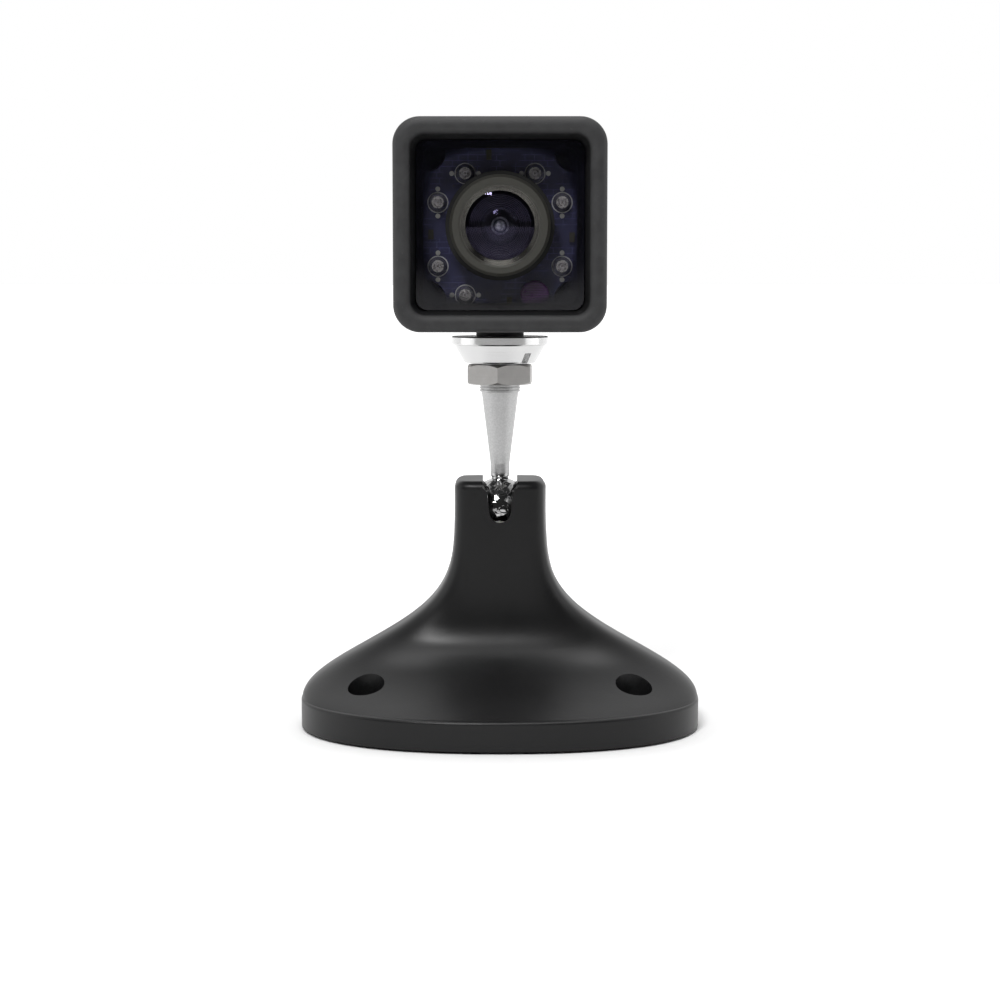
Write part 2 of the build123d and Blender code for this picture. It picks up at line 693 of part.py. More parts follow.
def make_battery_pad():
    """Foam pad between the transmitter can and the battery."""
    return in_head(block(14, 12, SHIELD_BACK, BATTERY_FRONT, 0, 3.0))


def make_battery():
    """Rechargeable flat cell."""
    cell = rounded_block(23, 18, 2.0, BATTERY_FRONT, BATTERY_BACK, 0, 0.2)
    cell = fillet(cell.edges().group_by(Axis.Y)[-1], 0.8)
    return in_head(cell)


def make_power_board():
    """Board behind the battery with the charging jack, the switch and the indicator."""
    return in_head(board(18, -12.0, 8.6, POWER_BOARD_FRONT))


def make_charging_jack():
    """Barrel jack for charging."""
    body = block(8.0, 7.6, POWER_BOARD_BACK, HEAD_BACK - 2.5, 0, JACK_Z)
    socket = along_y(2.8, 18.0, HEAD_BACK, 0, JACK_Z)
    pin = along_y(0.7, 18.0, 20.6, 0, JACK_Z)
    return in_head(body - socket + pin)


def make_jack_cap():
    """Rubber flap that plugs the charging jack, hinged along its top edge."""
    top = JACK_HINGE_Z + 0.55
    bottom = JACK_Z - 4.9
    middle = (top + bottom) / 2
    flap = rounded_block(10.2, top - bottom, 2.3, HEAD_BACK - 1.0, HEAD_BACK - 0.1, 0, middle)
    flap = fillet(flap.edges().group_by(Axis.Y)[-1], 0.35)
    plug = along_y(2.6, HEAD_BACK - 2.2, HEAD_BACK - 1.0, 0, JACK_Z)
    tab = Pos(0, HEAD_BACK - 0.1, JACK_Z - 3.4) * Box(4.2, 1.0, 0.8)
    return in_head(flap + plug + tab)


def make_power_button():
    """Rear button: a cap that stands proud of the cover, on a stem that reaches the switch."""
    cap = along_y(BUTTON_RADIUS, HEAD_BACK - 1.6, HEAD_BACK + 0.9, BUTTON_X, BUTTON_Z)
    cap = fillet(cap.edges().group_by(Axis.Y)[-1], 0.5)
    collar = along_y(BUTTON_RADIUS + 0.8, HEAD_BACK - 3.3, HEAD_BACK - 2.5, BUTTON_X, BUTTON_Z)
    stem = along_y(1.2, 20.3, HEAD_BACK - 1.6, BUTTON_X, BUTTON_Z)
    neck = along_y(BUTTON_RADIUS, HEAD_BACK - 2.5, HEAD_BACK - 1.6, BUTTON_X, BUTTON_Z)
    return in_head(cap + neck + collar + stem)


def make_button_switch():
    """Tactile switch under the button."""
    front = POWER_BOARD_BACK
    body = block(5.0, 5.0, front, front + 2, BUTTON_X, BUTTON_Z)
    return in_head(body + along_y(1.2, front + 2, front + 2.8, BUTTON_X, BUTTON_Z))


def make_indicator_light():
    """Clear light guide that shows that the camera is on."""
    guide = along_y(LIGHT_RADIUS, 17.2, HEAD_BACK + 0.2, LIGHT_X, BUTTON_Z)
    guide += along_y(LIGHT_RADIUS + 0.5, 17.2, 18.2, LIGHT_X, BUTTON_Z)
    return in_head(fillet(guide.edges().group_by(Axis.Y)[-1], 0.3))


def make_indicator_led():
    """Chip lamp under the light guide."""
    return in_head(block(1.6, 1.2, POWER_BOARD_BACK, 17.1, LIGHT_X, BUTTON_Z))


def make_antenna():
    """Flexible antenna stuck along the roof of the front housing."""
    return in_head(rounded_block(18, 0.3, 0.1, -8.0, 8.0, 0, CAVITY_HALF - 0.17))


# ---------------------------------------------------------------- export

MAKERS = {
    "base_shell": make_base_shell,
    "base_plate": make_base_plate,
    "plate_screws": make_plate_screws,
    "foot_pad": make_foot_pad,
    "pressure_seat": make_pressure_seat,
    "disc_springs": make_disc_springs,
    "tension_plug": make_tension_plug,
    "ball_cup": make_ball_cup,
    "ball_stem": make_ball_stem,
    "jam_nut": make_jam_nut,
    "lock_flange": make_lock_flange,
    "front_housing": make_front_housing,
    "housing_gasket": make_housing_gasket,
    "rear_cover": make_rear_cover,
    "cover_screws": make_cover_screws,
    "stud_insert": make_stud_insert,
    "window": make_window,
    "window_gasket": make_window_gasket,
    "lens_seal": make_lens_seal,
    "lens_ring": make_lens_ring,
    "lens_barrel": make_lens_barrel,
    "front_lens": make_front_lens,
    "middle_lens": make_middle_lens,
    "rear_lens": make_rear_lens,
    "lens_holder": make_lens_holder,
    "image_sensor": make_image_sensor,
    "sensor_board": make_sensor_board,
    "board_spacers": make_board_spacers,
    "led_board": make_led_board,
    "infrared_leds": make_infrared_leds,
    "led_pads": make_led_pads,
    "light_sensor": make_light_sensor,
    "chip_resistors": make_chip_resistors,
    "main_board": make_main_board,
    "board_header": make_board_header,
    "radio_shield": make_radio_shield,
    "battery_pad": make_battery_pad,
    "battery": make_battery,
    "power_board": make_power_board,
    "charging_jack": make_charging_jack,
    "jack_cap": make_jack_cap,
    "power_button": make_power_button,
    "button_switch": make_button_switch,
    "indicator_light": make_indicator_light,
    "indicator_led": make_indicator_led,
    "antenna": make_antenna,
}

os.makedirs("parts", exist_ok=True)
for name, make in MAKERS.items():
    export_step(make(), f"parts/{name}.step")
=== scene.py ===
import json
import math

import bmesh
import bpy
from mathutils import Matrix, Vector


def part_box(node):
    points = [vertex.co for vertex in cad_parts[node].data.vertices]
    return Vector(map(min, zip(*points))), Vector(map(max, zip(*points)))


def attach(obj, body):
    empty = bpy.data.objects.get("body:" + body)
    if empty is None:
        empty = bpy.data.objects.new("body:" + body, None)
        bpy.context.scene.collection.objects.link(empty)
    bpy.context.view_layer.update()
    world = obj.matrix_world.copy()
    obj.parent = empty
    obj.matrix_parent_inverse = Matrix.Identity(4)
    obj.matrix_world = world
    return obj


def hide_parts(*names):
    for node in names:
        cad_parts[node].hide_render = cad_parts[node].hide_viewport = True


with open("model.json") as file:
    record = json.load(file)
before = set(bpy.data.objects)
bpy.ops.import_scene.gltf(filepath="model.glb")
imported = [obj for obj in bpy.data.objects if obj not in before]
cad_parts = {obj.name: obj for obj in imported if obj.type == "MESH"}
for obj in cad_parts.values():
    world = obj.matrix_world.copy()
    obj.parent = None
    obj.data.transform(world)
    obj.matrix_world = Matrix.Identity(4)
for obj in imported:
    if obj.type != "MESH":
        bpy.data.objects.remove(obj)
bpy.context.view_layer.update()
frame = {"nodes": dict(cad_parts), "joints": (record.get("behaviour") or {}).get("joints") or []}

bl_info = {
    "name": "Backup camera",
    "version": (1, 0, 0),
    "blender": (4, 5, 0),
    "location": "View3D > Sidebar > Backup camera",
    "description": "Finishes and detail pieces for a square backup camera on a flared ball-stem base",
    "category": "Object",
}

NODES = frame["nodes"]
BACKWARD = Vector((0, 1, 0))    # along the lens, from its front to the back of the head


# ------------------------------------------------------------ places read from the frame

def centre_of(node):
    """Middle of a CAD node's box."""
    low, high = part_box(node)
    return (low + high) / 2


def half_width(node):
    """Half of a CAD node's width along X."""
    low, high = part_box(node)
    return (high.x - low.x) / 2


def island_centres(node, reach):
    """Centres of the separate solids of a node, each smaller than reach across."""
    islands = []
    for vertex in NODES[node].data.vertices:
        for island in islands:
            if (island[0] - vertex.co).length < reach:
                island.append(vertex.co.copy())
                break
        else:
            islands.append([vertex.co.copy()])
    centres = []
    for island in islands:
        low = Vector(min(point[axis] for point in island) for axis in range(3))
        high = Vector(max(point[axis] for point in island) for axis in range(3))
        centres.append((low + high) / 2)
    return centres


LENS_AXIS = centre_of("lens_ring")
STEM_AXIS = centre_of("ball_stem")
BASE_LOW, BASE_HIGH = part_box("base_shell")
HEAD_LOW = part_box("front_housing")[0]
BALL_CENTRE = Vector(frame["joints"][0]["pos_m"])
BALL_RADIUS = half_width("ball_stem")


# ------------------------------------------------------------ settings

class BaseSettings(bpy.types.PropertyGroup):
    """Colours of the base."""

    plastic: bpy.props.FloatVectorProperty(
        name="Base plastic", description="Colour of the satin moulded base",
        size=3, subtype="COLOR", default=(0.0068, 0.0068, 0.0072), min=0, max=1,
    )
    grain: bpy.props.FloatProperty(
        name="Grain size", description="Size of the moulded grain",
        default=0.00035, unit="LENGTH", precision=5,
    )
    roughness: bpy.props.FloatProperty(
        name="Roughness", description="Roughness of the satin plastic", default=0.38, min=0, max=1,
    )


class StemSettings(bpy.types.PropertyGroup):
    """Finish of the ball stem, its nut and its flange."""

    steel: bpy.props.FloatVectorProperty(
        name="Stem steel", description="Colour of the satin chromed stem",
        size=3, subtype="COLOR", default=(0.48, 0.48, 0.48), min=0, max=1,
    )
    nut: bpy.props.FloatVectorProperty(
        name="Nut nickel", description="Colour of the nickel-plated jam nut",
        size=3, subtype="COLOR", default=(0.42, 0.41, 0.40), min=0, max=1,
    )
    mark_pitch: bpy.props.FloatProperty(
        name="Turning marks", description="Distance between the turning marks",
        default=0.00012, unit="LENGTH", precision=5,
    )


class HeadSettings(bpy.types.PropertyGroup):
    """Colours of the camera head."""

    plastic: bpy.props.FloatVectorProperty(
        name="Head plastic", description="Colour of the soft-touch housing",
        size=3, subtype="COLOR", default=(0.030, 0.030, 0.031), min=0, max=1,
    )
    window: bpy.props.FloatVectorProperty(
        name="Window tint", description="Tint of the smoked window",
        size=3, subtype="COLOR", default=(0.004, 0.004, 0.008), min=0, max=1,
    )
    window_density: bpy.props.FloatProperty(
        name="Window density", description="How much of what is behind the window it hides",
        default=0.20, min=0, max=1, subtype="FACTOR",
    )
    board: bpy.props.FloatVectorProperty(
        name="Lamp board", description="Colour of the lamp board's solder mask",
        size=3, subtype="COLOR", default=(0.052, 0.052, 0.135), min=0, max=1,
    )


class LensSettings(bpy.types.PropertyGroup):
    """Sizes and colours of the lens."""

    ring: bpy.props.FloatVectorProperty(
        name="Lens ring", description="Colour of the anodised ring",
        size=3, subtype="COLOR", default=(0.066, 0.065, 0.057), min=0, max=1,
    )
    mouth_wall: bpy.props.FloatProperty(
        name="Mouth wall", description="Thickness of the barrel's wall at its mouth",
        default=0.0006, unit="LENGTH", precision=5,
    )
    trap_depth: bpy.props.FloatProperty(
        name="Light-trap depth", description="Depth of the ribbed funnel in front of the stop",
        default=0.0024, unit="LENGTH", precision=5,
    )
    rib_pitch: bpy.props.FloatProperty(
        name="Light-trap pitch", description="Distance between the ribs inside the barrel's mouth",
        default=0.0003, unit="LENGTH", precision=5,
    )
    stop_radius: bpy.props.FloatProperty(
        name="Stop radius", description="Radius of the opening in front of the small element",
        default=0.00165, unit="LENGTH", precision=5,
    )
    stop_thickness: bpy.props.FloatProperty(
        name="Stop thickness", description="Thickness of the stop behind the light trap",
        default=0.0003, unit="LENGTH", precision=5,
    )
    bore_gap: bpy.props.FloatProperty(
        name="Bore gap", description="Gap between the small element and the bore that holds it",
        default=0.00005, unit="LENGTH", precision=5,
    )


class LampSettings(bpy.types.PropertyGroup):
    """Sizes of an infrared lamp and of what is inside it and round it."""

    radius: bpy.props.FloatProperty(
        name="Lamp radius", description="Radius of the clear body",
        default=0.0015, unit="LENGTH", precision=5,
    )
    foot_lip: bpy.props.FloatProperty(
        name="Foot lip", description="How far the lamp's foot stands out past its body",
        default=0.00012, unit="LENGTH", precision=5,
    )
    foot_height: bpy.props.FloatProperty(
        name="Foot height", description="Height of the lamp's foot on the board",
        default=0.0006, unit="LENGTH", precision=5,
    )
    cup_radius: bpy.props.FloatProperty(
        name="Cup radius", description="Radius of the reflector cup inside",
        default=0.00088, unit="LENGTH", precision=5,
    )
    cup_depth: bpy.props.FloatProperty(
        name="Cup depth", description="Depth of the reflector cup",
        default=0.0007, unit="LENGTH", precision=5,
    )
    cup_floor: bpy.props.FloatProperty(
        name="Cup floor", description="Thickness of the reflector cup's floor",
        default=0.0002, unit="LENGTH", precision=5,
    )
    print_gap: bpy.props.FloatProperty(
        name="Print gap", description="Gap between the lamp's body and the circle printed round it",
        default=0.00014, unit="LENGTH", precision=5,
    )
    print_width: bpy.props.FloatProperty(
        name="Print width", description="Width of the line of the printed circle",
        default=0.00018, unit="LENGTH", precision=5,
    )


class StageSettings(bpy.types.PropertyGroup):
    """Floor, light and camera."""

    floor: bpy.props.FloatVectorProperty(
        name="Floor", description="Colour of the floor",
        size=3, subtype="COLOR", default=(0.90, 0.90, 0.90), min=0, max=1,
    )
    floor_reach: bpy.props.FloatProperty(
        name="Floor reach", description="From the object to the floor's edge", default=30, unit="LENGTH",
    )
    floor_glow: bpy.props.FloatProperty(
        name="Floor glow", description="Light of its own that keeps the floor pale behind the object",
        default=0.85, min=0,
    )
    floor_front: bpy.props.FloatProperty(
        name="Floor in front", description="How pale the floor is in front of the object, against the rest",
        default=0.45, min=0, max=1,
    )
    distance: bpy.props.FloatProperty(
        name="Camera distance", description="From the camera to the neck's axis, level",
        default=0.3836, unit="LENGTH",
    )
    camera_height: bpy.props.FloatProperty(
        name="Camera height", description="Height of the camera above the floor",
        default=0.0788, unit="LENGTH", precision=4,
    )
    aim_height: bpy.props.FloatProperty(
        name="Aim height", description="Height of the point that the camera looks at",
        default=0.0394, unit="LENGTH", precision=4,
    )
    lens: bpy.props.FloatProperty(
        name="Camera lens", description="Focal length", default=77.12, unit="CAMERA",
    )


# ------------------------------------------------------------ finish: one procedural material

class Finish:
    """A material on Blender's standard shader, with a few node helpers."""

    def __init__(self, name, colour, metallic=0.0, roughness=0.5, **sockets):
        self.material = bpy.data.materials.new(name)
        self.material.use_nodes = True
        self.nodes = self.material.node_tree.nodes
        self.links = self.material.node_tree.links
        self.shader = self.nodes["Principled BSDF"]
        self.colour = tuple(colour)
        self.roughness = roughness
        self.set(self.shader, "Base Color", (*self.colour, 1))
        self.set(self.shader, "Metallic", metallic)
        self.set(self.shader, "Roughness", roughness)
        for socket, value in sockets.items():
            self.set(self.shader, socket.replace("_", " ").title().replace("Ior", "IOR"), value)
        self.place = self.nodes.new("ShaderNodeTexCoord").outputs["Object"]
        self.height = None

    @staticmethod
    def set(node, socket, value):
        """Give a socket a constant value."""
        node.inputs[socket].default_value = value

    def mapped(self, centre=(0, 0, 0), stretch=(1, 1, 1)):
        """Object coordinates measured from centre and stretched."""
        node = self.nodes.new("ShaderNodeMapping")
        node.vector_type = "POINT"
        self.set(node, "Location", [-c * s for c, s in zip(centre, stretch)])
        self.set(node, "Scale", stretch)
        self.links.new(self.place, node.inputs["Vector"])
        return node.outputs["Vector"]

    def math(self, operation, first, second=0.0, clamp=False):
        """One sum on two sockets or numbers."""
        node = self.nodes.new("ShaderNodeMath")
        node.operation = operation
        node.use_clamp = clamp
        for index, value in enumerate((first, second)):
            if isinstance(value, bpy.types.NodeSocket):
                self.links.new(value, node.inputs[index])
            else:
                node.inputs[index].default_value = value
        return node.outputs[0]

    def axes(self, vector=None):
        """The three parts of a position."""
        node = self.nodes.new("ShaderNodeSeparateXYZ")
        self.links.new(vector or self.place, node.inputs[0])
        return node.outputs

    def noise(self, size, detail=3.0, vector=None, distortion=0.0):
        """Soft noise whose features are about size across."""
        node = self.nodes.new("ShaderNodeTexNoise")
        self.set(node, "Scale", 1 / size)
        self.set(node, "Detail", detail)
        self.set(node, "Distortion", distortion)
        self.links.new(vector or self.place, node.inputs["Vector"])
        return node.outputs["Fac"]

    def cells(self, size, vector=None):
        """Cell pattern whose cells are about size across."""
        node = self.nodes.new("ShaderNodeTexVoronoi")
        self.set(node, "Scale", 1 / size)
        self.links.new(vector or self.place, node.inputs["Vector"])
        return node.outputs["Distance"]

    def between(self, value, low, high, start=0.0, end=1.0):
        """Value taken from low..high to start..end, and held there."""
        node = self.nodes.new("ShaderNodeMapRange")
        node.clamp = True
        for socket, number in zip(("From Min", "From Max", "To Min", "To Max"), (low, high, start, end)):
            self.set(node, socket, number)
        self.links.new(value, node.inputs["Value"])
        return node.outputs["Result"]

    def blend(self, amount, first, second):
        """Colour that goes from first to second with amount."""
        node = self.nodes.new("ShaderNodeMix")
        node.data_type = "RGBA"
        self.links.new(amount, node.inputs["Factor"])
        for socket, colour in (("A", first), ("B", second)):
            target = [i for i in node.inputs if i.name == socket and i.type == "RGBA"][0]
            if isinstance(colour, bpy.types.NodeSocket):
                self.links.new(colour, target)
            else:
                target.default_value = (*colour, 1)
        return [o for o in node.outputs if o.type == "RGBA"][0]

    def tint(self, factor):
        """The base colour made lighter or darker."""
        return tuple(min(1, part * factor) for part in self.colour)

    def paint(self, colour):
        """Give the shader a colour pattern."""
        self.links.new(colour, self.shader.inputs["Base Color"])

    def vary_colour(self, value, darkest, lightest):
        """Colour that drifts between two shades of the base colour."""
        self.paint(self.blend(value, self.tint(darkest), self.tint(lightest)))

    def vary_roughness(self, value, least, most):
        """Roughness that follows a value."""
        self.links.new(self.between(value, 0.25, 0.75, least, most), self.shader.inputs["Roughness"])

    def bump(self, value, depth, strength=1.0):
        """Add a relief of this depth in metres to the surface."""
        node = self.nodes.new("ShaderNodeBump")
        self.set(node, "Strength", strength)
        self.set(node, "Distance", depth)
        self.links.new(value, node.inputs["Height"])
        if self.height is not None:
            self.links.new(self.height, node.inputs["Normal"])
        self.height = node.outputs["Normal"]
        self.links.new(self.height, self.shader.inputs["Normal"])

    def radius_about(self, centre, axis):
        """Distance from a line through centre along axis, 0 for X, 1 for Y and 2 for Z."""
        stretch = [1.0, 1.0, 1.0]
        stretch[axis] = 0.0
        length = self.nodes.new("ShaderNodeVectorMath")
        length.operation = "LENGTH"
        self.links.new(self.mapped(centre, stretch), length.inputs[0])
        return length.outputs["Value"]

    def rings(self, value, pitch, drift=0.3):
        """Fine uneven lines at equal steps of a value, such as turning marks."""
        line = self.nodes.new("ShaderNodeCombineXYZ")
        self.links.new(self.math("MULTIPLY", value, 1 / pitch), line.inputs[0])
        self.links.new(self.math("MULTIPLY", self.noise(0.004, 1), drift), line.inputs[1])
        node = self.nodes.new("ShaderNodeTexNoise")
        self.set(node, "Scale", 1.0)
        self.set(node, "Detail", 2.0)
        self.links.new(line.outputs[0], node.inputs["Vector"])
        return node.outputs["Fac"]


def paint(node, finish):
    """Give a CAD node one finish."""
    mesh = NODES[node].data
    mesh.materials.clear()
    mesh.materials.append(finish.material)


def paint_all(names, finish):
    """Give several CAD nodes the same finish."""
    for name in names:
        paint(name, finish)


# ------------------------------------------------------------ finishes of the base

def satin_plastic(settings):
    """Black moulded plastic with a fine spark grain, and a streaky painted sheen round the screw holes."""
    finish = Finish("satin_black_plastic", settings.plastic, roughness=settings.roughness,
                    specular_ior_level=0.32)
    grain = finish.noise(settings.grain, 2)
    cloud = finish.noise(0.014, 3)
    hole_share = 0.66    # a screw hole's distance from the middle, as a share of the base's half width
    hole_radius = 0.0032
    sheen_radius = 0.0058
    # painted sheen: a lighter, streaky ring round each screw hole stands for light reflected there
    hole_sheen = None
    for side in (BASE_LOW.x, BASE_HIGH.x):
        hole = (side * hole_share, 0, 0)
        ring = finish.between(finish.radius_about(hole, 2), hole_radius, sheen_radius, 1, 0)
        hole_sheen = ring if hole_sheen is None else finish.math("MAXIMUM", hole_sheen, ring)
    # streak pattern that breaks up the painted sheen round the holes
    scratches = finish.noise(0.0006, 4, finish.mapped(stretch=(1, 5, 1)), 0.6)
    hole_sheen = finish.math("MULTIPLY", hole_sheen, finish.between(scratches, 0.52, 0.62))
    shade = finish.blend(finish.between(cloud, 0.3, 0.7), finish.tint(0.86), finish.tint(1.14))
    finish.paint(finish.blend(finish.math("MULTIPLY", hole_sheen, 0.5), shade, finish.tint(2.4)))
    finish.vary_roughness(cloud, finish.roughness - 0.04, finish.roughness + 0.05)
    finish.bump(grain, 0.000022, 0.35)
    finish.bump(finish.noise(0.006, 2), 0.00006, 0.12)
    return finish


def plated_steel(name, colour, roughness, spangle=0.003):
    """Zinc-plated or ground steel with a faint cloudy spangle and fine scratches."""
    finish = Finish(name, colour, metallic=1.0, roughness=roughness)
    cloud = finish.cells(spangle)
    scratch = finish.noise(0.0008, 5, finish.mapped(stretch=(1, 12, 1)))
    finish.vary_colour(finish.between(cloud, 0.1, 0.8), 0.82, 1.08)
    finish.vary_roughness(scratch, roughness - 0.07, roughness + 0.08)
    finish.bump(scratch, 0.00001, 0.3)
    return finish


def black_oxide():
    """Blackened screw steel with bright worn spots."""
    finish = Finish("black_oxide_steel", (0.030, 0.030, 0.033), metallic=0.9, roughness=0.42)
    wear = finish.between(finish.noise(0.0007, 4), 0.60, 0.70)
    finish.paint(finish.blend(wear, finish.tint(1), (0.20, 0.20, 0.20)))
    finish.bump(finish.noise(0.0003, 3), 0.00001, 0.4)
    return finish


def pad_foam(name, colour, cell=0.0006):
    """Soft closed-cell foam or rubber with a pitted skin."""
    finish = Finish(name, colour, roughness=0.85, sheen_weight=0.12)
    pits = finish.cells(cell)
    finish.vary_colour(finish.between(pits, 0.0, 0.7), 0.7, 1.25)
    finish.vary_roughness(finish.noise(0.003), 0.78, 0.92)
    finish.bump(pits, 0.00005, 0.5)
    return finish


def natural_nylon():
    """Off-white nylon, slightly milky."""
    finish = Finish("natural_nylon", (0.78, 0.76, 0.69), roughness=0.42, subsurface_weight=0.15)
    finish.set(finish.shader, "Subsurface Scale", 0.001)
    finish.vary_colour(finish.noise(0.005), 0.93, 1.04)
    finish.vary_roughness(finish.noise(0.002), 0.36, 0.48)
    finish.bump(finish.noise(0.0005), 0.00001, 0.3)
    return finish


# ------------------------------------------------------------ finishes of the stem

def turned_stem(settings):
    """Satin chrome with turning marks on the stem, and bright chrome on the ball below it."""
    finish = Finish("satin_chrome_stem", settings.steel, metallic=1.0, roughness=0.26)
    height = finish.axes()[2]
    stem_start = BALL_CENTRE.z + BALL_RADIUS * 1.05
    satin = finish.between(height, stem_start, stem_start + 0.0006)
    marks = finish.rings(height, settings.mark_pitch)
    sparkle = finish.cells(0.00028)
    finish.vary_colour(finish.between(sparkle, 0.0, 0.8), 0.86, 1.06)
    rough = finish.between(marks, 0.3, 0.7, 0.20, 0.34)
    rough = finish.math("ADD", finish.math("MULTIPLY", rough, satin), 0.09, clamp=True)
    finish.links.new(rough, finish.shader.inputs["Roughness"])
    finish.bump(finish.math("MULTIPLY", marks, satin), 0.000012, 0.5)
    finish.bump(finish.math("MULTIPLY", sparkle, satin), 0.000012, 0.45)
    plain_ball = finish.math("SUBTRACT", 1.0, satin)
    dents = finish.noise(0.0022, 2, distortion=1.0)
    finish.bump(finish.math("MULTIPLY", dents, plain_ball), 0.00035, 0.7)
    return finish


def nickel_nut(settings):
    """Nickel plate over milled flats: fine cross lines and a softly worn sheen."""
    finish = Finish("nickel_plated_nut", settings.nut, metallic=1.0, roughness=0.44)
    lines = finish.rings(finish.axes()[2], 0.00014, 1.2)
    finish.vary_colour(finish.noise(0.0012, 4), 0.88, 1.1)
    finish.vary_roughness(lines, 0.38, 0.52)
    finish.bump(lines, 0.000008, 0.45)
    finish.bump(finish.noise(0.0007, 4), 0.00002, 0.25)
    return finish


def bright_flange():
    """Bright chrome with circular turning marks on the cone and the disc."""
    finish = Finish("bright_chrome_flange", (0.66, 0.66, 0.66), metallic=1.0, roughness=0.20)
    radius = finish.radius_about(STEM_AXIS, 2)
    marks = finish.rings(radius, 0.00016)
    finish.vary_colour(finish.noise(0.003), 0.93, 1.05)
    finish.vary_roughness(marks, 0.15, 0.27)
    finish.bump(marks, 0.00001, 0.45)
    return finish


def machined_brass():
    """Turned brass."""
    finish = Finish("machined_brass", (0.70, 0.50, 0.22), metallic=1.0, roughness=0.3)
    marks = finish.rings(finish.axes()[2], 0.0002)
    finish.vary_colour(finish.noise(0.003), 0.85, 1.08)
    finish.vary_roughness(marks, 0.24, 0.38)
    finish.bump(marks, 0.00001, 0.5)
    return finish


# ------------------------------------------------------------ finishes of the head

def soft_touch(settings):
    """Dark grey soft-touch coat with a fine matt grain and small specks, and painted shade that colours the
    inside of the visor near-black.
    """
    finish = Finish("soft_touch_plastic", settings.plastic, roughness=0.60, specular_ior_level=0.35)
    grain = finish.noise(0.00045, 3)
    mottle = finish.noise(0.0021, 4)
    specks = finish.between(finish.noise(0.0005, 2), 0.66, 0.74)
    shade = finish.blend(finish.between(mottle, 0.3, 0.7), finish.tint(0.80), finish.tint(1.22))
    shade = finish.blend(finish.math("MULTIPLY", specks, 0.5), shade, finish.tint(1.9))
    # painted shade: the visor's inner walls, from just behind the lip inwards, are coloured near-black to
    # stand for the shade in the recess
    across, along, up = finish.axes(finish.mapped(LENS_AXIS))
    off_axis = finish.math("MAXIMUM", finish.math("ABSOLUTE", across), finish.math("ABSOLUTE", up))
    lip_edge = half_width("front_housing") - 0.0023
    shade_start = HEAD_LOW.y - LENS_AXIS.y + 0.0006
    shade_end = 0.005
    soft_edge = 0.001
    inside = finish.between(off_axis, lip_edge - 0.0004, lip_edge, 1, 0)
    past_start = finish.between(along, shade_start, shade_start + soft_edge)
    before_end = finish.between(along, shade_end - soft_edge, shade_end, 1, 0)
    painted = finish.math("MULTIPLY", inside, finish.math("MULTIPLY", past_start, before_end))
    finish.paint(finish.blend(painted, shade, (0.004, 0.004, 0.0045)))
    finish.vary_roughness(mottle, 0.52, 0.68)
    finish.bump(grain, 0.00003, 0.42)
    return finish


def rubber(name, colour, roughness=0.7):
    """Matt moulded rubber with a fine grain and a dusty bloom."""
    finish = Finish(name, colour, roughness=roughness, sheen_weight=0.1)
    bloom = finish.noise(0.0035, 4)
    finish.vary_colour(finish.between(bloom, 0.35, 0.7), 0.8, 1.35)
    finish.vary_roughness(bloom, roughness - 0.08, roughness + 0.08)
    finish.bump(finish.noise(0.00035), 0.00002, 0.4)
    return finish


def smoked_window(settings):
    """Smoked acrylic that lets the lamps and the board show through, darker towards its border as painted
    shade from the visor.
    """
    finish = Finish("smoked_acrylic", settings.window, roughness=0.05)
    smear = finish.noise(0.005, 4, distortion=0.8)
    finish.vary_roughness(smear, 0.03, 0.09)
    finish.vary_colour(smear, 0.8, 1.3)
    half = half_width("window")
    middle = centre_of("window")
    across, _, up = finish.axes(finish.mapped(middle))
    squarely = finish.math("MAXIMUM", finish.math("ABSOLUTE", across), finish.math("ABSOLUTE", up))
    squarely = finish.math("MULTIPLY", squarely, 0.5)
    roundly = finish.math("MULTIPLY", finish.radius_about(middle, 1), 0.43)
    off_middle = finish.math("ADD", squarely, roundly)
    # painted shade: towards its edges the window hides more of what is behind it, standing for the visor's
    # shade on the board
    fade_start = half * 0.82
    fade_end = half * 0.92
    shaded_border_density = 0.8
    density = finish.between(off_middle, fade_start, fade_end, settings.window_density, shaded_border_density)
    finish.links.new(density, finish.shader.inputs["Alpha"])
    finish.material.surface_render_method = "BLENDED"
    return finish


def circuit_board(name, colour, copper=1.9, track=0.0016):
    """Solder mask with raised copper tracks under it and small plated holes."""
    finish = Finish(name, colour, roughness=0.34, coat_weight=0.25, coat_roughness=0.2)
    vector = finish.mapped(stretch=(1, 0, 1))
    node = finish.nodes.new("ShaderNodeTexBrick")
    node.offset = 0.37
    node.squash = 0.6
    finish.set(node, "Scale", 1 / track)
    finish.set(node, "Mortar Size", 0.045)
    finish.set(node, "Mortar Smooth", 0.15)
    finish.set(node, "Brick Width", 1.7)
    finish.set(node, "Row Height", 0.62)
    swap = finish.nodes.new("ShaderNodeCombineXYZ")
    parts = finish.axes(vector)
    finish.links.new(parts[0], swap.inputs[0])
    finish.links.new(parts[2], swap.inputs[1])
    finish.links.new(swap.outputs[0], node.inputs["Vector"])
    tracks = node.outputs["Fac"]
    broken = finish.between(finish.noise(0.004, 1), 0.46, 0.52)
    tracks = finish.math("MULTIPLY", tracks, broken)
    holes = finish.between(finish.cells(0.0024, vector=vector), 0.07, 0.10, 1, 0)
    cloud = finish.blend(finish.noise(0.006), finish.tint(0.75), finish.tint(1.2))
    shade = finish.blend(tracks, cloud, finish.tint(copper))
    finish.paint(finish.blend(finish.math("MULTIPLY", holes, 0.7), shade, (0.10, 0.09, 0.07)))
    finish.bump(tracks, 0.00004, 0.5)
    return finish


def clear_epoxy():
    """Faintly hazy clear epoxy of the lamps."""
    finish = Finish("clear_epoxy", (0.62, 0.60, 0.68), roughness=0.14, alpha=0.24, ior=1.53)
    haze = finish.noise(0.0006, 3)
    finish.vary_colour(haze, 0.75, 1.25)
    finish.vary_roughness(haze, 0.06, 0.16)
    finish.material.surface_render_method = "BLENDED"
    return finish


